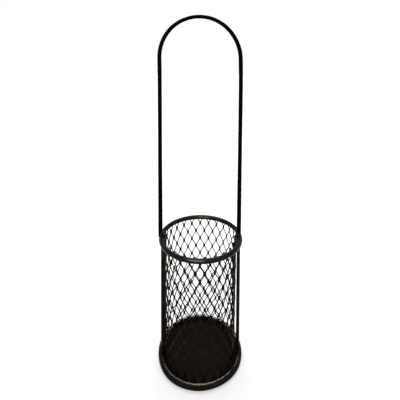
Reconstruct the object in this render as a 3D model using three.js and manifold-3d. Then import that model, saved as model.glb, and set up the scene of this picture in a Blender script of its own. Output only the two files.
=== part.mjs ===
// Mesh bottle carrier: a rolled sleeve of expanded metal between two welded rod rings,
// on a round base plate, with one tall hairpin rod as its carrying loop.
// Millimetres, +Z up, origin on the floor at the middle of the base ring.

import * as THREE from 'three';
import { mergeVertices } from 'three/addons/utils/BufferGeometryUtils.js';
import Module from 'manifold-3d';

const wasm = await Module();
wasm.setup();

// Driving sizes
const weldGap = 0.3; // left between neighbours that are welded together on the real carrier

const sleeveRadius = 41.9; // to the middle of the sheet
const sleeveShift = -0.8; // the sleeve stands off the middle towards the left upright
const sheetThickness = 0.8;
const strandWidth = 1.2;
const strandTilt = 22; // degrees that the raised strands turn out of the sheet
const jointLength = 3.4; // long side of the joint between two strands
const diamondHeight = 21.27;
const diamondCount = 24; // round the sleeve
const sheetDrop = 6.6; // how far a row sinks once round, as the sheet is rolled out of square
const firstJointRise = -1.5; // lowest joint beside the seam, measured from the sleeve's foot
const seamWidth = 2.6;
const seamThickness = 1.5;
const seamInset = 0.3; // middle of the seam inside the middle of the sheet
const seamWave = 0.8; // how far the seam bows out and in between the joints

const topRingRod = 5;
const topRingHeight = 154; // middle of the rod above the floor
const topRingClearance = 1.57; // free width between the sleeve and the rod
const tipRise = -0.25; // cut tips above the top ring's upper side, half-way back
const tipSlope = 2.5; // how much higher the tips stand at the back than at the front

const baseRingRod = 7;
const baseRingFlare = 1.8; // middle of the base ring's rod outside the top ring's

const plateClearance = 1.2; // free height under the plate
const plateThickness = 1.4;
const beadWidth = 2.6; // raised bead of the plate, under the sleeve
const beadHeight = 0.8;

const uprightRod = 4;
const uprightHeadInset = 1.6; // middle of the rod inside the middle of the top ring's
const uprightFootInset = 1.5; // the same at the base ring

const loopRod = 4.3;
const loopHeight = 411.3; // top of the carrying loop above the floor
const legLean = 1.8; // how much further out a leg stands at its foot than at the arch
const loopSink = 1.25; // how far each leg reaches down over the ring's top
const loopShift = -1.2; // the loop stands a little to the left of the rings' middle
const weldBead = 6; // diameter of the weld round each foot of the loop
const weldBeadRise = 0.7; // middle of the weld above the ring's top

// Numbers of facets
const ringSteps = 36;
const baseRingSides = 12;
const topRingSides = 10;
const rodSides = 10;
const archSteps = 28;
const legSteps = 2;
const seamSteps = 4; // for each wave of the seam
const beadSteps = 4;
const weldBeadSteps = 10;

// The sleeve's outside, with its strands turned out of the sheet
const columns = 2 * diamondCount;
const rowHeight = diamondHeight / 2;
const tilt = THREE.MathUtils.degToRad(strandTilt);
const strandOut = strandWidth * Math.sin(tilt) + (sheetThickness / 2) * Math.cos(tilt);
const strandAlong = strandWidth * Math.cos(tilt) - (sheetThickness / 2) * Math.sin(tilt);
const sleeveReach = Math.hypot(sleeveRadius + strandOut, strandAlong);

// The rings go round the sleeve, and the rods stand on the rings
const topRingRadius = sleeveReach + topRingClearance + topRingRod / 2;
const topRingTop = topRingHeight + topRingRod / 2;
const baseRingRadius = topRingRadius + baseRingFlare;
const plateRadius = baseRingRadius - baseRingRod / 2 - weldGap;
const plateTop = plateClearance + plateThickness;
const uprightHeadRadius = topRingRadius - uprightHeadInset;
const uprightFootRadius = baseRingRadius - uprightFootInset;
const archRadius = topRingRadius - legLean;
const sleeveFoot = plateTop + beadHeight + weldGap;
const sleeveHead = topRingTop + tipRise;

function blackPaint(colour, roughness) {
  return new THREE.MeshStandardMaterial({ color: colour, roughness, metalness: 0 });
}

function toSolid(geometry) {
  geometry.deleteAttribute('normal');
  geometry.deleteAttribute('uv');
  const merged = mergeVertices(geometry);
  return new wasm.Manifold(
    new wasm.Mesh({
      numProp: 3,
      vertProperties: new Float32Array(merged.attributes.position.array),
      triVerts: new Uint32Array(merged.index.array),
    }),
  );
}

function toGeometry(solid) {
  const mesh = solid.getMesh();
  const geometry = new THREE.BufferGeometry();
  geometry.setAttribute('position', new THREE.BufferAttribute(mesh.vertProperties, 3));
  geometry.setIndex(new THREE.BufferAttribute(mesh.triVerts, 1));
  geometry.computeVertexNormals();
  return geometry;
}

function piece(name, geometry, material) {
  const mesh = new THREE.Mesh(geometry, material);
  mesh.name = name;
  return mesh;
}

// A level ring of rod. Its section has a flat side at the bottom, so that it rests on the floor.
function ringOfRod(radius, rod, height, sides) {
  const cornerRadius = rod / 2 / Math.cos(Math.PI / sides);
  const section = [];
  for (let i = 0; i < sides; i += 1) {
    const angle = ((i + 0.5) / sides) * 2 * Math.PI - Math.PI / 2;
    const x = radius + cornerRadius * Math.cos(angle);
    section.push(new THREE.Vector2(x, cornerRadius * Math.sin(angle)));
  }
  section.push(section[0].clone());
  const ring = new THREE.LatheGeometry(section, ringSteps);
  ring.rotateX(Math.PI / 2);
  ring.translate(0, 0, height);
  return ring;
}

// The same ring with the weld gap round it, for cutting the pieces that are welded to it.
function ringCutter(radius, rod, height, sides) {
  return toSolid(ringOfRod(radius, rod + 2 * weldGap, height, sides));
}

const topRingCutter = ringCutter(topRingRadius, topRingRod, topRingHeight, topRingSides);
const baseRingCutter = ringCutter(baseRingRadius, baseRingRod, baseRingRod / 2, baseRingSides);

function rodAlong(path, rod, steps) {
  const corners = [];
  for (let i = 0; i < rodSides; i += 1) {
    const angle = ((i + 0.5) / rodSides) * 2 * Math.PI;
    corners.push(new THREE.Vector2(Math.cos(angle), Math.sin(angle)).multiplyScalar(rod / 2));
  }
  return new THREE.ExtrudeGeometry(new THREE.Shape(corners), { steps, extrudePath: path });
}

// A straight leg, a round arch that carries on from it, and a second straight leg.
class HairpinCurve extends THREE.Curve {
  constructor(footRadius, footHeight, radius, topHeight) {
    super();
    this.radius = radius;
    this.centreHeight = topHeight - radius;
    this.rightFoot = new THREE.Vector3(footRadius, 0, footHeight);
    this.leftFoot = new THREE.Vector3(-footRadius, 0, footHeight);
    const rise = this.centreHeight - footHeight;
    // How far a leg leans in, so that it meets the arch without a kink
    this.lean = Math.atan2(footRadius, rise) - Math.asin(radius / Math.hypot(footRadius, rise));
  }

  onArch(angle) {
    const across = this.radius * Math.cos(angle);
    return new THREE.Vector3(across, 0, this.centreHeight + this.radius * Math.sin(angle));
  }

  getPoint(t) {
    const step = t * (archSteps + 2 * legSteps);
    if (step < legSteps) {
      return this.leftFoot.clone().lerp(this.onArch(Math.PI - this.lean), step / legSteps);
    }
    const along = (step - legSteps) / archSteps;
    if (along <= 1) {
      return this.onArch(Math.PI - this.lean - along * (Math.PI - 2 * this.lean));
    }
    return this.onArch(this.lean).lerp(this.rightFoot, (step - legSteps - archSteps) / legSteps);
  }

  // The points are spread by the step number and not by the length, so that the legs take few.
  getUtoTmapping(u) {
    return u;
  }
}

// The carrying loop with a round weld at each foot, both hollowed to sit on the top ring
function handleLoop() {
  const archTop = loopHeight - loopRod / 2;
  const path = new HairpinCurve(topRingRadius, topRingTop - loopSink, archRadius, archTop);
  let solid = toSolid(rodAlong(path, loopRod, archSteps + 2 * legSteps));
  for (const side of [-1, 1]) {
    const bead = new THREE.SphereGeometry(weldBead / 2, weldBeadSteps, weldBeadSteps / 2);
    bead.rotateX(Math.PI / 2);
    bead.translate(side * topRingRadius, 0, topRingTop + weldBeadRise);
    solid = solid.add(toSolid(bead));
  }
  const seated = solid.translate([loopShift, 0, 0]).subtract(topRingCutter);
  return piece('handle_loop', toGeometry(seated), blackPaint(0x1d1a18, 0.36));
}

function topRing() {
  const ring = ringOfRod(topRingRadius, topRingRod, topRingHeight, topRingSides);
  return piece('top_ring', ring, blackPaint(0x1f1c1a, 0.34));
}

function baseRing() {
  const ring = ringOfRod(baseRingRadius, baseRingRod, baseRingRod / 2, baseRingSides);
  return piece('base_ring', ring, blackPaint(0x1f1c1a, 0.34));
}

function uprightLine(side) {
  const foot = new THREE.Vector3(side * uprightFootRadius, 0, baseRingRod / 2);
  const head = new THREE.Vector3(side * uprightHeadRadius, 0, topRingHeight - topRingRod / 2);
  return new THREE.LineCurve3(foot, head);
}

// A straight rod from the base ring to the underside of the top ring, coped at both ends
function upright(name, side) {
  const rod = toSolid(rodAlong(uprightLine(side), uprightRod, 1));
  const coped = rod.subtract(topRingCutter).subtract(baseRingCutter);
  return piece(name, toGeometry(coped), blackPaint(0x201b18, 0.38));
}

// A flat disc inside the base ring, with a low round bead that the sleeve stands on
function basePlate() {
  const profile = [
    new THREE.Vector2(0, plateClearance),
    new THREE.Vector2(plateRadius, plateClearance),
    new THREE.Vector2(plateRadius, plateTop),
  ];
  for (let i = 0; i <= beadSteps; i += 1) {
    const angle = (i / beadSteps) * Math.PI;
    const x = sleeveRadius + (beadWidth / 2) * Math.cos(angle);
    profile.push(new THREE.Vector2(x, plateTop + beadHeight * Math.sin(angle)));
  }
  profile.push(new THREE.Vector2(0, plateTop));
  const plate = new THREE.LatheGeometry(profile, ringSteps);
  plate.rotateX(Math.PI / 2);
  return piece('base_plate', plate, blackPaint(0x1b1918, 0.42));
}

// Raised expanded metal: slit, stretched and rolled up with its long diamonds upright.
// Strand k zigzags between the joint columns k and k + 1. A joint is two strands side by side,
// turned out of the sheet together, and it stands where column and row add up to an even number.
// The corners of a joint are told apart by side (-1, 0, 1 round the sleeve), end (-1 low, 1 high)
// and face (-1 inner, 1 outer).
class ExpandedSheet {
  constructor(low, high) {
    this.lowest = low + firstJointRise;
    this.rowFrom = Math.floor((low - this.lowest) / rowHeight) - 1;
    this.rowTo = Math.ceil((high + sheetDrop - this.lowest) / rowHeight) + 1;
    this.positions = [];
    this.triangles = [];
    this.corners = new Map();
  }

  hasRow(row) {
    return row >= this.rowFrom && row <= this.rowTo;
  }

  corner(joint, side, end, face) {
    const key = [joint.column, joint.row, side, end, face].join();
    if (!this.corners.has(key)) {
      const turn = joint.column / columns;
      const angle = turn * 2 * Math.PI;
      const across = side * strandWidth;
      const out = (face * sheetThickness) / 2;
      const radial = sleeveRadius + across * Math.sin(tilt) + out * Math.cos(tilt);
      const round = across * Math.cos(tilt) - out * Math.sin(tilt);
      const rise = joint.row * rowHeight - turn * sheetDrop + (end * jointLength) / 2;
      this.corners.set(key, this.positions.length / 3);
      this.positions.push(
        radial * Math.cos(angle) - round * Math.sin(angle),
        radial * Math.sin(angle) + round * Math.cos(angle),
        this.lowest + rise,
      );
    }
    return this.corners.get(key);
  }

  // The inner and outer corners at one end of a strand, from its left side to its right
  section(joint, left, end) {
    return [
      this.corner(joint, left, end, 1),
      this.corner(joint, left + 1, end, 1),
      this.corner(joint, left + 1, end, -1),
      this.corner(joint, left, end, -1),
    ];
  }

  quad(a, b, c, d) {
    this.triangles.push(a, b, c, a, c, d);
  }

  // Joins two sections of a strand by the faces whose first corners are listed
  skin(low, high, faces) {
    for (const i of faces) {
      const next = (i + 1) % low.length;
      this.quad(low[i], low[next], high[next], high[i]);
    }
  }

  // One strand's share of a joint, with the face towards the other strand left open
  jointHalf(joint, left) {
    const low = this.section(joint, left, -1);
    const high = this.section(joint, left, 1);
    const onEdge = joint.column === 0 || joint.column === columns;
    const outerSide = left === 0 ? 1 : 3;
    this.skin(low, high, onEdge ? [0, 1, 2, 3] : [0, 2, outerSide]);
    if (!this.hasRow(joint.row - 1)) {
      this.quad(low[3], low[2], low[1], low[0]);
    }
    if (!this.hasRow(joint.row + 1)) {
      this.quad(...high);
    }
  }

  toSolid() {
    for (let column = 0; column <= columns; column += 1) {
      for (let row = this.rowFrom; row <= this.rowTo; row += 1) {
        if ((column + row) % 2 !== 0) {
          continue;
        }
        const joint = { column, row };
        if (column > 0) {
          this.jointHalf(joint, -1);
        }
        if (column < columns) {
          this.jointHalf(joint, 0);
          this.strands(joint);
        }
      }
    }
    return new wasm.Manifold(
      new wasm.Mesh({
        numProp: 3,
        vertProperties: new Float32Array(this.positions),
        triVerts: new Uint32Array(this.triangles),
      }),
    );
  }

  // The strand to the right of a joint, up and down to the joints of the next column
  strands(joint) {
    const next = joint.column + 1;
    if (this.hasRow(joint.row + 1)) {
      const upper = { column: next, row: joint.row + 1 };
      this.skin(this.section(joint, 0, 1), this.section(upper, -1, -1), [0, 1, 2, 3]);
    }
    if (this.hasRow(joint.row - 1)) {
      const lower = { column: next, row: joint.row - 1 };
      this.skin(this.section(lower, -1, 1), this.section(joint, 0, -1), [0, 1, 2, 3]);
    }
  }
}

// The lapped seam as one upright strip. It bows inwards where the joints of its two edges meet.
function seamStrip(low, high) {
  const jointHeight = low + firstJointRise - sheetDrop / 2;
  const stepHeight = diamondHeight / seamSteps;
  const outline = [];
  for (let height = low; height < high + stepHeight; height += stepHeight) {
    const turn = ((height - jointHeight) / diamondHeight) * 2 * Math.PI;
    const radius = sleeveRadius - seamInset - seamWave * Math.cos(turn);
    outline.push(new THREE.Vector2(radius, height));
  }
  const inner = outline.map((point) => new THREE.Vector2(point.x - seamThickness / 2, point.y));
  const outer = outline.map((point) => new THREE.Vector2(point.x + seamThickness / 2, point.y));
  const shape = new THREE.Shape([...inner, ...outer.reverse()]);
  const strip = new THREE.ExtrudeGeometry(shape, { depth: seamWidth, bevelEnabled: false });
  strip.rotateX(Math.PI / 2);
  strip.translate(0, seamWidth / 2, 0);
  return strip;
}

// The sheet closed by its seam, cut level at the foot and aslant at the head. It is hollowed along
// the left upright, which it is welded to.
function meshSleeve() {
  const room = 3 * sleeveReach;
  const highest = sleeveHead + tipSlope;
  const sheet = new ExpandedSheet(sleeveFoot, highest).toSolid();
  const seam = seamStrip(sleeveFoot, highest);
  const aboveFoot = new THREE.BoxGeometry(room, room, highest);
  aboveFoot.translate(0, 0, sleeveFoot + highest / 2);
  const belowHead = new THREE.BoxGeometry(room, room, 2 * sleeveHead);
  belowHead.translate(0, 0, -sleeveHead);
  belowHead.rotateX(Math.atan2(tipSlope, 2 * sleeveRadius));
  belowHead.translate(0, 0, sleeveHead);
  const closed = sheet.add(toSolid(seam));
  const cut = closed.intersect(toSolid(aboveFoot)).intersect(toSolid(belowHead));
  const leftUpright = toSolid(rodAlong(uprightLine(-1), uprightRod + 2 * weldGap, 1));
  const sleeve = cut.translate([sleeveShift, 0, 0]).subtract(leftUpright);
  return piece('mesh_sleeve', toGeometry(sleeve), blackPaint(0x1a1817, 0.45));
}

const carrier = new THREE.Group();
carrier.add(
  baseRing(),
  basePlate(),
  upright('upright_left', -1),
  upright('upright_right', 1),
  meshSleeve(),
  topRing(),
  handleLoop(),
);

export default carrier;
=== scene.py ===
"""Looks of the mesh bottle carrier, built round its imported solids.

The carrier is black enamelled ironwork: a rolled sleeve of expanded metal between two rings of
round rod, on a pressed base plate, with one tall hairpin rod to carry it by. Sizes are in metres.
"""

import logging
import math
from dataclasses import dataclass
from enum import Enum
from typing import Callable, Iterable, Protocol

import bpy
from mathutils import Matrix, Vector


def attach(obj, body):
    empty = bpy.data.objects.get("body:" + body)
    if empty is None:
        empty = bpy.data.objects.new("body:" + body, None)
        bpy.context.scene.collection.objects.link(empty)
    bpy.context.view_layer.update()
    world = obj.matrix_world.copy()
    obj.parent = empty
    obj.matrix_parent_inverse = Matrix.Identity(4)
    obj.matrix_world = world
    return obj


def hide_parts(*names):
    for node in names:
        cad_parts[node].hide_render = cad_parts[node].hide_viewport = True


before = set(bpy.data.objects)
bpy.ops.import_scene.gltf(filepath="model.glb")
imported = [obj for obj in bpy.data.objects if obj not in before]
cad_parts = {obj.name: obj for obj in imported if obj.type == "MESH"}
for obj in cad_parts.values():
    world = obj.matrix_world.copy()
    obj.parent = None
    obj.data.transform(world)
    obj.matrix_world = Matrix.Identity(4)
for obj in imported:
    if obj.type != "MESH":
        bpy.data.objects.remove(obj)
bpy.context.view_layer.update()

log = logging.getLogger("carrier")

MM = 0.001
WHITE = "#ffffff"


# Sizes shared by several pieces


@dataclass(frozen=True)
class Ring:
    """One level ring of round rod.

    Attributes:
        radius: From the carrier's axis to the middle of the rod.
        rod: Diameter of the rod.
        height: Middle of the rod above the floor.
    """

    radius: float
    rod: float
    height: float

    @property
    def top(self) -> float:
        """Highest point of the rod."""
        return self.height + self.rod / 2


BASE_RING = Ring(radius=48.6 * MM, rod=7 * MM, height=3.5 * MM)
TOP_RING = Ring(radius=46.8 * MM, rod=5.6 * MM, height=154.3 * MM)


# Selecting and editing


class Part(Enum):
    """What an edit-mode choice is made of."""

    VERTEX = "VERT"
    EDGE = "EDGE"


def deselect_all() -> None:
    """Leaves edit mode and deselects every object."""
    if bpy.context.object and bpy.context.object.mode != "OBJECT":
        bpy.ops.object.mode_set(mode="OBJECT")
    bpy.ops.object.select_all(action="DESELECT")


def take(piece: bpy.types.Object) -> None:
    """Makes one object the only selected and the active one."""
    deselect_all()
    piece.select_set(True)
    bpy.context.view_layer.objects.active = piece


def new_piece(
    name: str, scale: tuple[float, float, float] = (1.0, 1.0, 1.0)
) -> bpy.types.Object:
    """Names the primitive that was just added and puts its place into its mesh.

    Args:
        name: Name of the piece and of its mesh.
        scale: Stretch along the primitive's own axes.

    Returns:
        The piece, selected and active, with its object at the origin.
    """
    piece = bpy.context.object
    piece.name = name
    piece.data.name = name
    piece.scale = scale
    bpy.ops.object.transform_apply(location=True, rotation=True, scale=True)
    return piece


def pick(piece: bpy.types.Object, part: Part, wanted: Callable[[Vector], bool]) -> None:
    """Selects vertices or edges of a piece by their place and stays in edit mode.

    Args:
        piece: The piece to edit.
        part: What to select.
        wanted: Says for a vertex's place or an edge's middle if it is selected.
    """
    bpy.context.view_layer.objects.active = piece
    bpy.ops.object.mode_set(mode="EDIT")
    bpy.ops.mesh.select_mode(type=part.value)
    bpy.ops.mesh.select_all(action="DESELECT")
    bpy.ops.object.mode_set(mode="OBJECT")
    mesh = piece.data
    points = mesh.vertices
    if part is Part.VERTEX:
        items = [(vertex, vertex.co) for vertex in points]
    else:
        items = [(e, (points[e.vertices[0]].co + points[e.vertices[1]].co) / 2) for e in mesh.edges]
    for item, place in items:
        if wanted(place):
            item.select = True
    bpy.ops.object.mode_set(mode="EDIT")


def edit_all() -> None:
    """Enters edit mode on the active piece with all of it selected."""
    bpy.ops.object.mode_set(mode="EDIT")
    bpy.ops.mesh.select_all(action="SELECT")


def leave_edit() -> None:
    """Returns to object mode."""
    bpy.ops.object.mode_set(mode="OBJECT")


def move_softly(by: Vector, reach: float) -> None:
    """Moves the selected points, and those round them less and less.

    Args:
        by: How far and which way the selected points move.
        reach: How far from them the move fades out.
    """
    bpy.ops.transform.translate(
        value=by,
        use_proportional_edit=True,
        proportional_edit_falloff="SMOOTH",
        proportional_size=reach,
    )


def in_plane(angle: float) -> tuple[float, float]:
    """Gives the cosine and sine of an angle in degrees."""
    return math.cos(math.radians(angle)), math.sin(math.radians(angle))


def close_up(piece: bpy.types.Object) -> None:
    """Merges doubled points and turns all faces outwards."""
    take(piece)
    edit_all()
    bpy.ops.mesh.remove_doubles(threshold=0.002 * MM)
    bpy.ops.mesh.normals_make_consistent(inside=False)
    leave_edit()


def apply_modifier(piece: bpy.types.Object, kind: str, **settings: object) -> None:
    """Adds a modifier with its settings and applies it.

    Args:
        piece: The piece that is changed.
        kind: Blender's name for the modifier.
        **settings: Its settings by name.
    """
    take(piece)
    modifier = piece.modifiers.new(kind.title(), kind)
    for name, value in settings.items():
        setattr(modifier, name, value)
    bpy.ops.object.modifier_apply(modifier=modifier.name)


def join(pieces: Iterable[bpy.types.Object]) -> bpy.types.Object:
    """Joins pieces into the first one.

    Args:
        pieces: The pieces, the one that stays first.

    Returns:
        The joined piece.
    """
    kept, *others = pieces
    take(kept)
    for other in others:
        other.select_set(True)
    bpy.ops.object.join()
    return kept


# Finishes


def srgb(code: str) -> tuple[float, float, float, float]:
    """Turns an sRGB hex colour into linear red, green, blue and a full alpha.

    Args:
        code: Colour as #rrggbb.

    Returns:
        The linear colour.
    """
    parts = [int(code[i : i + 2], 16) / 255 for i in (1, 3, 5)]
    linear = [c / 12.92 if c <= 0.04045 else ((c + 0.055) / 1.055) ** 2.4 for c in parts]
    return (linear[0], linear[1], linear[2], 1.0)


def add_node(
    tree: bpy.types.NodeTree,
    kind: str,
    settings: dict[str, object] | None = None,
    inputs: dict[str | int, object] | None = None,
) -> bpy.types.Node:
    """Adds one node, sets it and links it.

    Args:
        tree: Node tree that the node goes into.
        kind: Type name of the node.
        settings: The node's own properties by name.
        inputs: Socket name or number to a value, or to the output socket that feeds it.

    Returns:
        The new node.
    """
    node = tree.nodes.new(kind)
    for name, value in (settings or {}).items():
        setattr(node, name, value)
    for key, value in (inputs or {}).items():
        if isinstance(value, bpy.types.NodeSocket):
            tree.links.new(value, node.inputs[key])
        else:
            node.inputs[key].default_value = value
    return node


def blank_material(name: str) -> tuple[bpy.types.Material, bpy.types.NodeTree]:
    """Makes a material with an empty node tree."""
    material = bpy.data.materials.new(name)
    material.use_nodes = True
    material.node_tree.nodes.clear()
    return material, material.node_tree


class Finish(Protocol):
    """Anything that can make its own material."""

    def material(self) -> bpy.types.Material:
        """Makes the node material."""


@dataclass(frozen=True)
class StovedEnamel:
    """Black stoving enamel on iron, sprayed or dipped and baked to a satin gloss.

    The coat is a warm black. Where it ran thin the brown iron shows through a little, and its
    skin has the shallow dimples of sprayed paint, which break up the edges of the highlights.

    Attributes:
        name: Name of the material.
        black: Colour of the full coat.
        thin: Colour where the coat is thin.
        roughness: Roughness of the smooth skin.
        dull: Roughness where overspray lies dull on it.
        gloss: Strength of the reflection from the coat, 0.5 for an index of 1.5.
        sheen: Colour of that reflection.
        dimple: Distance between the dimples.
        depth: Depth of the dimples.
        patch: Size of the thin and dull patches.
        thin_from: Levels of the patches between which the coat goes from full to thin.
        dull_from: Levels of the patches between which the skin goes from smooth to dull.
    """

    name: str
    black: str = "#050403"
    thin: str = "#0f0a07"
    roughness: float = 0.16
    dull: float = 0.24
    gloss: float = 0.08
    sheen: str = "#fff0d8"
    dimple: float = 1.1 * MM
    depth: float = 0.005 * MM
    patch: float = 9 * MM
    thin_from: tuple[float, float] = (0.48, 0.7)
    dull_from: tuple[float, float] = (0.35, 0.65)

    def material(self) -> bpy.types.Material:
        """Makes the node material.

        Returns:
            The material, ready for a piece.
        """
        material, tree = blank_material(self.name)
        thin_low, thin_high = self.thin_from
        dull_low, dull_high = self.dull_from
        place = add_node(tree, "ShaderNodeTexCoord").outputs["Object"]
        patches = add_node(
            tree,
            "ShaderNodeTexNoise",
            inputs={"Vector": place, "Scale": 1 / self.patch, "Detail": 3.0, "Roughness": 0.55},
        ).outputs["Fac"]
        thin_spots = add_node(
            tree,
            "ShaderNodeMapRange",
            inputs={"Value": patches, "From Min": thin_low, "From Max": thin_high},
        ).outputs["Result"]
        colour = add_node(
            tree,
            "ShaderNodeMix",
            {"data_type": "RGBA"},
            {"Factor": thin_spots, 6: srgb(self.black), 7: srgb(self.thin)},
        ).outputs[2]
        roughness = add_node(
            tree,
            "ShaderNodeMapRange",
            inputs={
                "Value": patches,
                "From Min": dull_low,
                "From Max": dull_high,
                "To Min": self.roughness,
                "To Max": self.dull,
            },
        ).outputs["Result"]
        dimples = add_node(
            tree,
            "ShaderNodeTexNoise",
            inputs={"Vector": place, "Scale": 1 / self.dimple, "Detail": 2.0, "Roughness": 0.5},
        ).outputs["Fac"]
        bump = add_node(
            tree,
            "ShaderNodeBump",
            inputs={"Height": dimples, "Distance": self.depth, "Strength": 1.0},
        ).outputs["Normal"]
        surface = add_node(
            tree,
            "ShaderNodeBsdfPrincipled",
            inputs={
                "Base Color": colour,
                "Roughness": roughness,
                "Normal": bump,
                "Specular IOR Level": self.gloss,
                "Specular Tint": srgb(self.sheen),
            },
        ).outputs["BSDF"]
        add_node(tree, "ShaderNodeOutputMaterial", inputs={"Surface": surface})
        return material


# The view and the light


@dataclass(frozen=True)
class ViewOfPhotograph:
    """The camera that took the photograph, found from the rings, rods and mesh in it.

    Attributes:
        place: Where the camera stands.
        pitch: How far it looks down, in degrees.
        roll: How far it is turned about its own axis, in degrees.
        focal_pixels: Focal length in pixels of the 400-pixel image.
        axis_pixel: Where the camera's axis meets the image, from its upper left corner.
        image: Width and height of the image in pixels.
        film: Width of the film.
    """

    place: tuple[float, float, float] = (0.0, -345.559 * MM, 353.224 * MM)
    pitch: float = 8.0
    roll: float = 0.294
    focal_pixels: float = 309.14
    axis_pixel: tuple[float, float] = (201.26, 112.0)
    image: float = 400.0
    film: float = 36.0

    def build(self) -> bpy.types.Object:
        """Adds the camera and makes it the scene's.

        Returns:
            The camera.
        """
        deselect_all()
        bpy.ops.object.camera_add(location=self.place)
        camera = bpy.context.object
        camera.name = "camera_of_photograph"
        tilt = Matrix.Rotation(math.radians(90 - self.pitch), 3, "X")
        turn = tilt @ Matrix.Rotation(math.radians(self.roll), 3, "Z")
        camera.rotation_euler = turn.to_euler()
        camera.data.sensor_width = self.film
        camera.data.lens = self.focal_pixels / self.image * self.film
        camera.data.shift_x = 0.5 - self.axis_pixel[0] / self.image
        camera.data.shift_y = self.axis_pixel[1] / self.image - 0.5
        camera.data.clip_start = 10 * MM
        bpy.context.scene.camera = camera
        return camera


@dataclass(frozen=True)
class SoftLamp:
    """One rectangular soft lamp that points at the carrier.

    Attributes:
        name: Name of the lamp.
        place: Where it hangs.
        aim: The point that it faces.
        size: Width and height of its face.
        power: Its power in watts.
        only: Name of the one piece that it is flagged off to, or nothing.
    """

    name: str
    place: tuple[float, float, float]
    aim: tuple[float, float, float]
    size: tuple[float, float]
    power: float
    only: str = ""

    def build(self) -> None:
        """Adds the lamp."""
        deselect_all()
        bpy.ops.object.light_add(type="AREA", location=self.place)
        lamp = bpy.context.object
        lamp.name = self.name
        facing = Vector(self.aim) - Vector(self.place)
        lamp.rotation_euler = facing.to_track_quat("-Z", "Y").to_euler()
        lamp.data.shape = "RECTANGLE"
        lamp.data.size, lamp.data.size_y = self.size
        lamp.data.energy = self.power
        lamp.visible_camera = False

    def flag_off(self) -> None:
        """Keeps the lamp from everything but its one piece, which must be there by now."""
        if self.only:
            lit = bpy.data.collections.new(self.name)
            lit.objects.link(bpy.data.objects[self.only])
            bpy.data.objects[self.name].light_linking.receiver_collection = lit


@dataclass
class Studio:
    """A plain white studio: a wide pale floor, white all round, soft lamps.

    Attributes:
        floor_size: Width of the floor.
        ambient: Brightness of the surroundings as they light the carrier.
        glow: Brightness of the floor close to the carrier, 1 for white.
        glow_reach: Distances from the carrier between which the floor goes to white.
        lamps: The soft lamps.
    """

    floor_size: float = 40.0
    ambient: float = 0.25
    glow: float = 0.5
    glow_reach: tuple[float, float] = (0.1, 1.2)
    lamps: tuple[SoftLamp, ...] = (
        SoftLamp("lamp_overhead", (0.0, 0.3, 1.15), (0.0, 0.0, 0.1), (0.6, 0.8), 7.5),
        SoftLamp("lamp_front_left", (-0.9, -1.1, 0.9), (0.0, 0.0, 0.2), (0.8, 0.8), 3.0),
        SoftLamp("lamp_front_right", (1.0, -0.9, 0.8), (0.0, 0.0, 0.2), (0.8, 0.8), 2.5),
        SoftLamp(
            "strip_above", (0.03, 0.6, 1.0), (0.0, -0.048, 0.0035), (0.25, 1.1), 46.0, "ring_base"
        ),
        SoftLamp(
            "strip_front", (-0.09, -0.5, 0.54), (0.0, -0.047, 0.154), (0.35, 0.25), 15.0, "ring_top"
        ),
        SoftLamp(
            "strip_arch", (-0.1, 0.9, 1.15), (0.0, 0.0, 0.409), (0.6, 0.5), 24.0, "carrying_loop"
        ),
    )

    def build(self) -> None:
        """Adds the lamps, the surroundings and the floor."""
        bpy.context.scene.view_settings.view_transform = "Standard"
        for lamp in self.lamps:
            lamp.build()
        self.surroundings()
        self.floor()

    def flag_off_lamps(self) -> None:
        """Flags off the lamps that are meant for one piece."""
        for lamp in self.lamps:
            lamp.flag_off()

    @staticmethod
    def seen(tree: bpy.types.NodeTree) -> bpy.types.NodeSocket:
        """Gives 1 for rays that show the background, straight or in a reflection."""
        path = add_node(tree, "ShaderNodeLightPath").outputs
        total = path["Is Camera Ray"]
        for kind in ("Is Glossy Ray", "Is Transmission Ray"):
            total = add_node(
                tree, "ShaderNodeMath", {"operation": "MAXIMUM"}, {0: total, 1: path[kind]}
            ).outputs[0]
        return total

    def surroundings(self) -> None:
        """Makes a world that looks white and lights the carrier evenly."""
        world = bpy.data.worlds.new("white_room")
        bpy.context.scene.world = world
        world.use_nodes = True
        tree = world.node_tree
        tree.nodes.clear()
        strength = add_node(
            tree,
            "ShaderNodeMapRange",
            inputs={"Value": self.seen(tree), "To Min": self.ambient, "To Max": 1.0},
        ).outputs["Result"]
        light = add_node(
            tree, "ShaderNodeBackground", inputs={"Color": srgb(WHITE), "Strength": strength}
        ).outputs["Background"]
        add_node(tree, "ShaderNodeOutputWorld", inputs={"Surface": light})

    def floor(self) -> None:
        """Adds the pale floor, which keeps the carrier's shadow."""
        deselect_all()
        bpy.ops.mesh.primitive_plane_add(size=self.floor_size)
        floor = new_piece("floor")
        material, tree = blank_material("matt_white_paper")
        paper = add_node(
            tree,
            "ShaderNodeBsdfDiffuse",
            inputs={"Color": srgb("#e2e2e2")},
        ).outputs["BSDF"]
        place = add_node(tree, "ShaderNodeTexCoord").outputs["Object"]
        distance = add_node(
            tree, "ShaderNodeVectorMath", {"operation": "LENGTH"}, {0: place}
        ).outputs["Value"]
        near, far = self.glow_reach
        strength = add_node(
            tree,
            "ShaderNodeMapRange",
            inputs={"Value": distance, "From Min": near, "From Max": far, "To Min": self.glow},
        ).outputs["Result"]
        glow = add_node(
            tree,
            "ShaderNodeEmission",
            inputs={"Color": srgb(WHITE), "Strength": strength},
        ).outputs["Emission"]
        lifted = add_node(tree, "ShaderNodeAddShader", inputs={0: paper, 1: glow}).outputs[0]
        surface = add_node(
            tree, "ShaderNodeMixShader", inputs={0: self.seen(tree), 1: paper, 2: lifted}
        ).outputs[0]
        add_node(tree, "ShaderNodeOutputMaterial", inputs={"Surface": surface})
        floor.data.materials.append(material)


# The carrier


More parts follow.
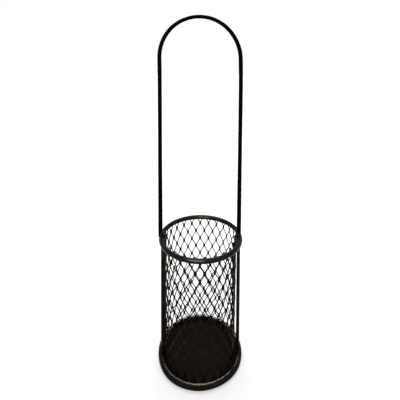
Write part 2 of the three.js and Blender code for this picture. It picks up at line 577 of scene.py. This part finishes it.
def dress(piece: bpy.types.Object, finish: Finish, slot: str, *nodes: str) -> None:
    """Paints a piece and puts it in the place of its solid.

    Args:
        piece: The finished piece.
        finish: The paint.
        slot: The slot that the paint belongs to. Not used.
        *nodes: The solids that the piece stands for.
    """
    piece.data.materials.clear()
    piece.data.materials.append(finish.material())
    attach(piece, "root")
    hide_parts(*nodes)
    log.info("%s: %d faces", piece.name, len(piece.data.polygons))


@dataclass(frozen=True)
class Bend:
    """A place where a hand-bent ring wanders from the true circle.

    Attributes:
        angle: Where it is, in degrees from +X towards +Y.
        out: How far the rod stands outside the circle there.
        reach: How far along the ring it fades out.
    """

    angle: float
    out: float
    reach: float = 32 * MM

    @property
    def outwards(self) -> Vector:
        """Direction from the ring's middle."""
        return Vector((*in_plane(self.angle), 0))


@dataclass
class RodRing:
    """A ring of round rod, bent round and butt welded, then dressed smooth.

    Attributes:
        name: Name of the piece.
        node: The solid that it stands for.
        ring: Its size and height.
        finish: Its paint.
        steps: Steps round the ring.
        sides: Steps round the rod.
        seat: Height up to which the underside is dressed flat, or 0.
        rise: How much higher the ring stands at the back than in its middle.
        bends: Where it wanders from the true circle.
    """

    name: str
    node: str
    ring: Ring
    finish: Finish
    steps: int = 180
    sides: int = 20
    seat: float = 0.0
    rise: float = 0.0
    bends: tuple[Bend, ...] = ()

    def build(self) -> bpy.types.Object:
        """Makes and dresses the ring."""
        deselect_all()
        bpy.ops.mesh.primitive_torus_add(
            location=(0, 0, self.ring.height),
            rotation=(math.atan2(self.rise, self.ring.radius), 0, 0),
            major_segments=self.steps,
            minor_segments=self.sides,
            major_radius=self.ring.radius,
            minor_radius=self.ring.rod / 2,
        )
        piece = new_piece(self.name)
        if self.seat:
            pick(piece, Part.VERTEX, lambda place: place.z < self.seat)
            bpy.ops.transform.resize(value=(1, 1, 0), center_override=(0, 0, 0))
            leave_edit()
        for bend in self.bends:
            self.put_in(piece, bend)
        bpy.ops.object.shade_smooth()
        dress(piece, self.finish, "rod", self.node)
        return piece

    def put_in(self, piece: bpy.types.Object, bend: Bend) -> None:
        """Moves the rod outwards at one place, fading out to both sides.

        Args:
            piece: The ring.
            bend: Where and how far.
        """
        least = math.cos(math.radians(180 / self.steps)) * 0.999
        pick(
            piece,
            Part.VERTEX,
            lambda place: Vector((place.x, place.y, 0)).normalized().dot(bend.outwards) > least,
        )
        move_softly(bend.outwards * bend.out, bend.reach)
        leave_edit()


@dataclass
class Weld:
    """A lump of weld metal where a rod meets a ring, left as it set.

    Attributes:
        place: Middle of the lump.
        size: Half its width along each axis.
        roughness: How far its skin wanders.
        seed: Which shape it has set to.
    """

    place: tuple[float, float, float]
    size: tuple[float, float, float]
    roughness: float = 0.25 * MM
    seed: int = 0

    def build(self) -> bpy.types.Object:
        """Makes the lump, undressed."""
        deselect_all()
        bpy.ops.mesh.primitive_uv_sphere_add(
            segments=16, ring_count=10, radius=1, location=self.place
        )
        lump = new_piece("weld", scale=self.size)
        edit_all()
        bpy.ops.transform.vertex_random(offset=self.roughness, seed=self.seed)
        leave_edit()
        apply_modifier(lump, "SUBSURF", levels=1, render_levels=1)
        return lump


def swept_rod(
    name: str, rod: float, foot: Vector, lean: float, sides: int = 20
) -> bpy.types.Object:
    """Adds the open end of a rod, ready to be drawn out.

    Args:
        name: Name of the piece.
        rod: Diameter of the rod.
        foot: Middle of the end.
        lean: Angle by which the rod leaves towards +X, from the upright.
        sides: Steps round the rod.

    Returns:
        The piece, in edit mode, with its one loop of edges selected.
    """
    deselect_all()
    bpy.ops.mesh.primitive_circle_add(
        vertices=sides, radius=rod / 2, location=foot, rotation=(0, lean, 0)
    )
    piece = new_piece(name)
    bpy.ops.object.mode_set(mode="EDIT")
    bpy.ops.mesh.select_mode(type="EDGE")
    bpy.ops.mesh.select_all(action="SELECT")
    return piece


def draw_out(by: Vector, steps: int = 1) -> None:
    """Draws the selected end of a rod out in a straight line.

    Args:
        by: How far and which way.
        steps: Number of equal steps.
    """
    for _ in range(steps):
        bpy.ops.mesh.extrude_region_move(TRANSFORM_OT_translate={"value": by / steps})


def cap(piece: bpy.types.Object) -> None:
    """Closes the open ends of a rod and turns its faces outwards."""
    bpy.ops.mesh.select_all(action="SELECT")
    bpy.ops.mesh.fill_holes(sides=0)
    leave_edit()
    close_up(piece)
    bpy.ops.object.shade_smooth_by_angle(angle=math.radians(60))


@dataclass
class Upright:
    """One of the two straight rods between the rings, with a collar of weld at each end.

    The left one touches the sleeve, and a run of braze fills the corner between the two.

    Attributes:
        name: Name of the piece.
        node: The solid that it stands for.
        side: -1 for the left one, 1 for the right.
        finish: Its paint.
        rod: Diameter of the rod.
        head: Distance of its head from the axis.
        foot: Distance of its foot from the axis.
        brazed: If it is joined to the sleeve all the way up.
        collars: Where along the rod the collars are, from 0 to 1, and which shape they set to.
        collar_width: Radius of a collar's own round.
        collar_skin: How far a collar's skin wanders.
        braze_width: Width of the run of braze.
        braze_feet: Distance from the axis and height of the braze's foot and of its head.
        braze_steps: Steps along the braze.
        braze_skin: How far the braze's skin wanders.
    """

    name: str
    node: str
    side: int
    finish: Finish
    rod: float = 4.2 * MM
    head: float = 45.4 * MM
    foot: float = 47.2 * MM
    brazed: bool = False
    collars: tuple[tuple[float, int], ...] = ((0.021, 3), (0.985, 8))
    collar_width: float = 0.8 * MM
    collar_skin: float = 0.2 * MM
    braze_width: float = 1.7 * MM
    braze_feet: tuple[tuple[float, float], ...] = ((44.5 * MM, 5 * MM), (43.7 * MM, 151 * MM))
    braze_steps: int = 44
    braze_skin: float = 0.28 * MM

    def build(self) -> bpy.types.Object:
        """Makes and dresses the rod."""
        low = Vector((self.side * self.foot, 0, BASE_RING.height))
        high = Vector((self.side * self.head, 0, TOP_RING.height - TOP_RING.rod / 2))
        lean = math.atan2(high.x - low.x, high.z - low.z)
        piece = swept_rod(self.name, self.rod, low, lean)
        draw_out(high - low, steps=6)
        cap(piece)
        collars = [self.collar(low, high, along, seed) for along, seed in self.collars]
        join([piece, *collars])
        if self.brazed:
            join([piece, self.braze()])
        dress(piece, self.finish, "rod", self.node)
        return piece

    def braze(self) -> bpy.types.Object:
        """Makes the run of braze between the rod and the sleeve."""
        low, high = (Vector((self.side * out, 0, height)) for out, height in self.braze_feet)
        run = swept_rod("braze", self.braze_width, low, 0, sides=10)
        draw_out(high - low, steps=self.braze_steps)
        cap(run)
        edit_all()
        bpy.ops.transform.vertex_random(offset=self.braze_skin, seed=4)
        bpy.ops.mesh.vertices_smooth(factor=0.4)
        leave_edit()
        bpy.ops.object.shade_smooth()
        return run

    def collar(self, low: Vector, high: Vector, along: float, seed: int) -> bpy.types.Object:
        """Makes the fillet of weld round one end of the rod.

        Args:
            low: Foot of the rod.
            high: Head of the rod.
            along: Where the fillet is, from 0 at the foot to 1 at the head.
            seed: Which shape it has set to.
        """
        deselect_all()
        bpy.ops.mesh.primitive_torus_add(
            location=low.lerp(high, along),
            major_segments=18,
            minor_segments=8,
            major_radius=self.rod / 2,
            minor_radius=self.collar_width,
        )
        collar = new_piece("weld")
        edit_all()
        bpy.ops.transform.vertex_random(offset=self.collar_skin, seed=seed)
        leave_edit()
        apply_modifier(collar, "SUBSURF", levels=1, render_levels=1)
        bpy.ops.object.shade_smooth()
        return collar


@dataclass
class CarryingLoop:
    """The tall hairpin of rod that the carrier is carried by, welded astride the top ring.

    Attributes:
        finish: Its paint.
        weld_finish: The paint on its welds.
        rod: Diameter of the rod.
        height: Its highest point above the floor.
        foot: Distance of each leg from the loop's middle at the foot.
        lean: How much less that is at the arch.
        shift: How far the loop stands off the rings' middle.
        steps: Steps round the arch.
        drawn: How much bending drew the rod in at the top of the arch, on its radius.
        drawn_reach: How far round that fades out.
        upset: How much it is thicker at the feet, on its radius.
        upset_reach: How far up that fades out.
        shoulders: Where the arch is out of round, in degrees from +X, and by how much.
        shoulder_reach: How far round that fades out.
        leg_steps: Steps along each leg.
    """

    finish: Finish
    weld_finish: Finish
    rod: float = 4.7 * MM
    height: float = 411.2 * MM
    foot: float = 46.8 * MM
    lean: float = 1.8 * MM
    shift: float = -1.2 * MM
    steps: int = 84
    drawn: float = 0.3 * MM
    drawn_reach: float = 70 * MM
    upset: float = 0.26 * MM
    upset_reach: float = 130 * MM
    shoulders: tuple[tuple[float, tuple[float, float, float]], ...] = (
        (135, (-0.7 * MM, 0, 0.4 * MM)),
        (35, (-1.1 * MM, 0, -0.5 * MM)),
    )
    shoulder_reach: float = 55 * MM
    leg_steps: int = 12

    def build(self) -> bpy.types.Object:
        """Makes and dresses the loop."""
        radius = self.foot - self.lean
        middle = Vector((self.shift, 0, self.height - self.rod / 2 - radius))
        start = Vector((self.shift - self.foot, 0, TOP_RING.height))
        rise = middle.z - start.z
        lean = math.atan2(self.foot, rise) - math.asin(radius / math.hypot(self.foot, rise))
        left = middle + Vector((-radius * math.cos(lean), 0, radius * math.sin(lean)))
        piece = swept_rod("carrying_loop", self.rod, start, lean)
        draw_out(left - start, steps=self.leg_steps)
        bpy.ops.mesh.spin(
            steps=self.steps, angle=math.pi - 2 * lean, center=middle, axis=(0, -1, 0)
        )
        draw_out(Vector((left.x - start.x, 0, start.z - left.z)), steps=self.leg_steps)
        cap(piece)

        def at_crest(at: Vector) -> bool:
            """Says if a point lies at the top of the arch."""
            return at.z > middle.z and abs(at.x - middle.x) < MM

        self.swell(piece, -self.drawn, self.drawn_reach, at_crest)
        self.swell(piece, self.upset, self.upset_reach, lambda at: at.z < start.z + MM)
        for angle, by in self.shoulders:
            self.push(piece, middle, angle, Vector(by))
        dress(piece, self.finish, "rod", "handle_loop")
        self.welds()
        return piece

    def push(self, piece: bpy.types.Object, middle: Vector, angle: float, by: Vector) -> None:
        """Moves one shoulder of the arch, which was bent by hand and is not quite round.

        Args:
            piece: The rod.
            middle: Centre of the arch.
            angle: Where the shoulder is, in degrees from +X upwards.
            by: How far and which way it moves.
        """
        along, up = in_plane(angle)
        outwards = Vector((along, 0, up))
        least = math.cos(math.pi / self.steps)

        def on_shoulder(at: Vector) -> bool:
            """Says if a point lies on the shoulder."""
            return Vector((at.x - middle.x, 0, at.z - middle.z)).normalized().dot(outwards) > least

        pick(piece, Part.VERTEX, on_shoulder)
        move_softly(by, self.shoulder_reach)
        leave_edit()

    @staticmethod
    def swell(
        piece: bpy.types.Object, out: float, reach: float, wanted: Callable[[Vector], bool]
    ) -> None:
        """Makes the rod thicker or thinner round some of its points, fading out from them.

        Args:
            piece: The rod.
            out: How far its skin moves outwards.
            reach: How far along the rod that fades out.
            wanted: Says for a point of the rod if it belongs to the middle of the change.
        """
        pick(piece, Part.VERTEX, wanted)
        bpy.ops.transform.shrink_fatten(
            value=out,
            use_proportional_edit=True,
            proportional_edit_falloff="SMOOTH",
            proportional_size=reach,
        )
        leave_edit()

    def welds(self) -> None:
        """Makes and dresses the lumps of weld at the two feet."""
        left = self.shift - self.foot
        right = self.shift + self.foot
        top = TOP_RING.top
        lumps = (
            (left + 2.0 * MM, -1.0, top + 0.9 * MM, (3.0, 2.8, 3.0)),
            (left + 4.6 * MM, -1.0, top - 1.4 * MM, (2.6, 2.6, 2.5)),
            (left + 6.0 * MM, -1.6, top - 4.4 * MM, (2.6, 3.0, 2.4)),
            (left + 5.6 * MM, -8.4, top - 3.0 * MM, (2.6, 3.6, 2.2)),
            (right - 0.8 * MM, -1.2, top + 0.4 * MM, (2.8, 2.8, 2.4)),
            (right - 2.2 * MM, 0.8, top + 2.4 * MM, (1.8, 1.8, 3.2)),
            (right - 3.2 * MM, -0.6, top - 2.8 * MM, (2.6, 3.2, 2.4)),
            (right - 3.8 * MM, -7.6, top - 3.2 * MM, (2.6, 4.2, 2.2)),
            (40.2 * MM, -14.0, top - 3.6 * MM, (2.4, 3.2, 2.4)),
        )
        welds = join(
            Weld((x, y * MM, z), tuple(half * MM for half in size), seed=seed).build()
            for seed, (x, y, z, size) in enumerate(lumps)
        )
        welds.name = "loop_welds"
        bpy.ops.object.shade_smooth()
        dress(welds, self.weld_finish, "rod", "handle_loop")


@dataclass
class BasePlate:
    """The pressed sheet-iron disc inside the base ring, with a round bead under the sleeve.

    Attributes:
        finish: Its paint.
        radius: Its outer radius, a little inside the ring's rod.
        top: Height of its upper side.
        thickness: Thickness of the sheet.
        bead_radius: Distance of the bead's crest from the axis.
        bead_width: Width of the bead.
        bead_height: Height of the bead.
        sides: Steps round the plate.
    """

    finish: Finish
    radius: float = 46.2 * MM
    top: float = 2.6 * MM
    thickness: float = 1.4 * MM
    bead_radius: float = 41.9 * MM
    bead_width: float = 2.6 * MM
    bead_height: float = 0.8 * MM
    sides: int = 144

    def build(self) -> bpy.types.Object:
        """Makes and dresses the plate."""
        deselect_all()
        bpy.ops.mesh.primitive_circle_add(
            vertices=self.sides, radius=self.radius, fill_type="NGON", location=(0, 0, self.top)
        )
        piece = new_piece("plate_pressed")
        bpy.ops.object.mode_set(mode="EDIT")
        bpy.ops.mesh.select_mode(type="FACE")
        bpy.ops.mesh.select_all(action="SELECT")
        at = (self.radius, 0.0)
        for step in self.profile():
            bpy.ops.mesh.inset(thickness=at[0] - step[0], depth=step[1] - at[1])
            at = step
        leave_edit()
        apply_modifier(piece, "SOLIDIFY", thickness=self.thickness, offset=-1)
        apply_modifier(piece, "BEVEL", width=0.25 * MM, segments=2, angle_limit=math.radians(60))
        close_up(piece)
        bpy.ops.object.shade_smooth_by_angle(angle=math.radians(50))
        dress(piece, self.finish, "plate", "base_plate")
        return piece

    def profile(self) -> list[tuple[float, float]]:
        """Lists radius and rise of the plate's rings, from the edge to the middle."""
        half = self.bead_width / 2
        bead = []
        for step in range(9):
            angle = math.pi * step / 8
            reach = self.bead_radius + half * math.cos(angle)
            bead.append((reach, self.bead_height * math.sin(angle)))
        flat = [(radius * MM, 0.0) for radius in (38.0, 30.0, 20.0, 10.0, 3.0)]
        return bead + flat


@dataclass
class ExpandedSleeve:
    """Raised expanded metal, rolled up with its long diamonds upright and lapped at the right.

    The sheet is laid out flat first. Two joints with their half strands are the pattern that is
    repeated in columns and rows. The sheet then gets its thickness and the paint's round edges,
    is rolled round the carrier's axis and is cut at foot and head.

    Attributes:
        finish: Its paint.
        radius: From the sleeve's axis to the middle of the sheet.
        shift: How far the sleeve's axis stands off the rings' middle.
        thickness: Thickness of the painted sheet.
        strand: Width of a strand.
        neck: Share of its width that a strand keeps half-way, where stretching drew it thin.
        turn: Degrees that the strands turn out of the sheet.
        joint: Length of the joint between two strands.
        diamond: Height of a diamond.
        around: Diamonds round the sleeve.
        drop: How far a row sinks once round.
        foot: Height of the lower edge.
        head: Height of the upper edge, half-way back.
        slope: How much higher the upper edge is at the back than at the front.
        first_joint: Lowest joint of the column at +X, measured from the foot.
        edge: Width of the rounding on the painted edges.
        lap: Thickness and width of the lapped seam.
        lap_column: Which column of joints the lap lies on, counted from +X towards +Y.
        lap_inset: How far the lap's middle lies inside the middle of the sheet.
        lap_wave: How far the lap bows out and in between the joints.
        bulged: How far the sheet stands out at +X, beside the lap.
        bulge_reach: How far round that fades out.
    """

    finish: Finish
    radius: float = 42.5 * MM
    shift: float = -0.6 * MM
    thickness: float = 0.94 * MM
    strand: float = 1.36 * MM
    neck: float = 0.7
    turn: float = 22.0
    joint: float = 3.8 * MM
    diamond: float = 21.27 * MM
    around: int = 24
    drop: float = 6.6 * MM
    foot: float = 3.7 * MM
    head: float = 156.25 * MM
    slope: float = 2.5 * MM
    first_joint: float = -1.5 * MM
    edge: float = 0.14 * MM
    lap: tuple[float, float] = (1.7 * MM, 3.3 * MM)
    lap_column: int = -3
    lap_inset: float = 0.9 * MM
    lap_wave: float = 0.9 * MM
    bulged: float = 0.2 * MM
    bulge_reach: float = 13 * MM

    def build(self) -> bpy.types.Object:
        """Makes, rolls, cuts and dresses the sleeve."""
        sheet = self.flat_sheet()
        apply_modifier(sheet, "SOLIDIFY", thickness=self.thickness, offset=0, use_even_offset=True)
        apply_modifier(sheet, "BEVEL", width=self.edge, segments=1, angle_limit=math.radians(40))
        self.roll(sheet)
        self.bulge(sheet)
        seam = self.seam()
        sleeve = join([sheet, seam])
        self.trim(sleeve)
        take(sleeve)
        bpy.ops.object.shade_smooth_by_angle(angle=math.radians(50))
        dress(sleeve, self.finish, "mesh", "mesh_sleeve")
        return sleeve

    @property
    def across(self) -> Vector:
        """Direction in which a strand is wide, on the flat sheet."""
        wide, back = in_plane(self.turn)
        return Vector((wide, -back, 0))

    @property
    def column(self) -> float:
        """Distance between two columns of joints."""
        return math.tau * self.radius / (2 * self.around)

    @property
    def sink(self) -> float:
        """How far a row sinks from one column to the next."""
        return self.drop / (2 * self.around)

    @property
    def lap_joint(self) -> float:
        """Height of a joint in the column that the sheet starts with, at the lap."""
        return self.foot + self.first_joint + self.lap_column * (self.diamond / 2 - self.sink)

    def joint_with_strands(self) -> bpy.types.Object:
        """Makes one joint with the four half strands that leave it, as faces without thickness."""
        deselect_all()
        bpy.ops.mesh.primitive_grid_add(
            x_subdivisions=2,
            y_subdivisions=1,
            size=1,
            rotation=(math.pi / 2, 0, -math.radians(self.turn)),
        )
        piece = new_piece("sleeve_expanded", scale=(2 * self.strand, self.joint, 1))
        for side in (-1, 1):
            for end in (-1, 1):
                self.half_strand(piece, side, end)
        return piece

    def half_strand(self, piece: bpy.types.Object, side: int, end: int) -> None:
        """Draws one half strand out of the joint, aslant to half-way to the next one.

        Args:
            piece: The joint.
            side: -1 for the left half of the joint, 1 for the right.
            end: -1 for its lower end, 1 for its upper.
        """
        start = self.across * (side * self.strand / 2) + Vector((0, 0, end * self.joint / 2))
        rise = (end * self.diamond / 2 - side * self.sink) / 2
        goal = Vector((side * self.column / 2, 0, rise))
        pick(piece, Part.EDGE, lambda place: (place - start).length < 0.02 * MM)
        bpy.ops.mesh.extrude_region_move(TRANSFORM_OT_translate={"value": goal - start})
        bpy.ops.transform.resize(value=(self.neck, self.neck, self.neck), center_override=goal)
        leave_edit()

    def flat_sheet(self) -> bpy.types.Object:
        """Repeats the joints over the whole flat sheet, which is as wide as the sleeve is round.

        Returns:
            The sheet, upright in the plane of X and Z, with its middle at X = 0.
        """
        first = self.joint_with_strands()
        take(first)
        bpy.ops.object.duplicate()
        second = bpy.context.object
        second.location = (self.column, 0, self.diamond / 2 - self.sink)
        bpy.ops.object.transform_apply(location=True)
        sheet = join([first, second])
        rows = math.ceil((self.head + self.slope + self.drop) / self.diamond) + 4
        for count, step in (
            (rows, (0, 0, self.diamond)),
            (self.around + 1, (2 * self.column, 0, -2 * self.sink)),
        ):
            apply_modifier(
                sheet,
                "ARRAY",
                count=count,
                use_relative_offset=False,
                use_constant_offset=True,
                constant_offset_displace=step,
            )
        half = self.around * self.column
        lowest = self.lap_joint - self.diamond
        sheet.location = (-half, 0, lowest)
        take(sheet)
        bpy.ops.object.transform_apply(location=True)
        edit_all()
        bpy.ops.mesh.remove_doubles(threshold=0.01 * MM)
        for side in (-1, 1):
            bpy.ops.mesh.select_all(action="SELECT")
            bpy.ops.mesh.bisect(
                plane_co=(side * half, 0, 0), plane_no=(side, 0, 0), clear_outer=True
            )
        leave_edit()
        return sheet

    def roll(self, sheet: bpy.types.Object) -> None:
        """Rolls the flat sheet round the axis, with its edges meeting at the lap.

        Args:
            sheet: The flat sheet.
        """
        reach = [vertex.co.x for vertex in sheet.data.vertices]
        angle = (max(reach) - min(reach)) / self.radius
        apply_modifier(sheet, "SIMPLE_DEFORM", deform_method="BEND", deform_axis="Z", angle=angle)
        sheet.location = (0, -self.radius, 0)
        bpy.ops.object.transform_apply(location=True)
        self.put_round(sheet, -math.pi / 2)

    def bulge(self, sheet: bpy.types.Object) -> None:
        """Presses the sheet out beside the lap, where it stands off the true round."""
        reach = self.radius * math.sin(math.radians(4))
        pick(sheet, Part.VERTEX, lambda at: at.x > 0 and abs(at.y) < reach)
        move_softly(Vector((self.bulged, 0, 0)), self.bulge_reach)
        leave_edit()

    def put_round(self, piece: bpy.types.Object, start: float) -> None:
        """Turns a piece about the sleeve's axis to the lap and moves it to the sleeve's place.

        Args:
            piece: The piece, made about the middle.
            start: Angle by which it is turned as well.
        """
        take(piece)
        piece.rotation_euler = (0, 0, start + self.lap_column * math.pi / self.around)
        piece.location = (self.shift, 0, 0)
        bpy.ops.object.transform_apply(location=True, rotation=True)

    def seam_at(self, height: float) -> Vector:
        """Gives the middle of the lap at a height, bowed inwards where the joints meet it."""
        turn = (height - self.lap_joint + self.drop / 2) / self.diamond * math.tau
        reach = self.radius - self.lap_inset - self.lap_wave * math.cos(turn)
        return Vector((reach, 0, height))

    def seam(self) -> bpy.types.Object:
        """Makes the upright lap that closes the sleeve, as a narrow strip with round edges."""
        step = self.diamond / 8
        at = self.seam_at(self.foot - step)
        deselect_all()
        bpy.ops.mesh.primitive_plane_add(size=1, location=at)
        seam = new_piece("seam", scale=(*self.lap, 1))
        edit_all()
        bpy.ops.mesh.bevel(offset=0.45 * MM, segments=3, affect="VERTICES")
        bpy.ops.mesh.delete(type="ONLY_FACE")
        bpy.ops.mesh.select_all(action="SELECT")
        while at.z < self.head + self.slope:
            upper = self.seam_at(at.z + step)
            draw_out(upper - at)
            at = upper
        cap(seam)
        self.put_round(seam, 0)
        return seam

    def trim(self, sleeve: bpy.types.Object) -> None:
        """Cuts the sleeve level at the foot and aslant at the head."""
        slant = Vector((0, -self.slope, 2 * self.radius)).normalized()
        cuts = (((0, 0, self.foot), (0, 0, -1)), ((0, 0, self.head), slant))
        take(sleeve)
        bpy.ops.object.mode_set(mode="EDIT")
        for place, outwards in cuts:
            bpy.ops.mesh.select_all(action="SELECT")
            bpy.ops.mesh.bisect(
                plane_co=place, plane_no=outwards, clear_outer=True, use_fill=True
            )
        leave_edit()


# Putting it together


def main() -> None:
    """Builds the view, the studio and the carrier, one sub-assembly after the other."""
    logging.basicConfig(level=logging.INFO, format="%(message)s")
    studio = Studio()
    ViewOfPhotograph().build()
    studio.build()
    rings = StovedEnamel("black_stoving_enamel_ring")
    # The uprights' enamel is a lighter warm brown than the rings' black. This is a painted
    # highlight for the soft brown sheen along them, and the braze on the left upright shares it.
    rods_with_painted_sheen = StovedEnamel(
        "black_stoving_enamel_rod_painted_sheen", black="#20170f", thin="#44321f", roughness=0.3, gloss=0.03
    )
    loop = StovedEnamel(
        "black_stoving_enamel_loop",
        black="#050302",
        thin="#120b06",
        roughness=0.34,
        dull=0.44,
        gloss=0.015,
        depth=0.001 * MM,
    )
    welds = StovedEnamel(
        "black_stoving_enamel_weld",
        black="#15110d",
        thin="#3b3025",
        roughness=0.22,
        dull=0.36,
        gloss=0.1,
        patch=3 * MM,
    )
    mesh = StovedEnamel(
        "black_stoving_enamel_mesh",
        black="#15120f",
        thin="#221912",
        roughness=0.38,
        dull=0.5,
        gloss=0.03,
        patch=5 * MM,
    )
    sheet = StovedEnamel(
        "black_stoving_enamel_sheet",
        black="#141211",
        thin="#1f1815",
        roughness=0.36,
        dull=0.46,
        gloss=0.025,
        patch=14 * MM,
    )
    bends = (
        Bend(222, 1.0 * MM),
        Bend(243, 0.5 * MM),
        Bend(298, -0.5 * MM),
        Bend(322, 0.4 * MM),
    )
    RodRing(
        "ring_base", "base_ring", BASE_RING, rings, sides=24, seat=0.1 * MM, bends=bends
    ).build()
    BasePlate(sheet).build()
    Upright("upright_rod_left", "upright_left", -1, rods_with_painted_sheen, brazed=True).build()
    Upright("upright_rod_right", "upright_right", 1, rods_with_painted_sheen).build()
    ExpandedSleeve(mesh).build()
    RodRing("ring_top", "top_ring", TOP_RING, rings, rise=1 * MM).build()
    CarryingLoop(loop, welds).build()
    studio.flag_off_lamps()


if __name__ == "__main__":
    main()
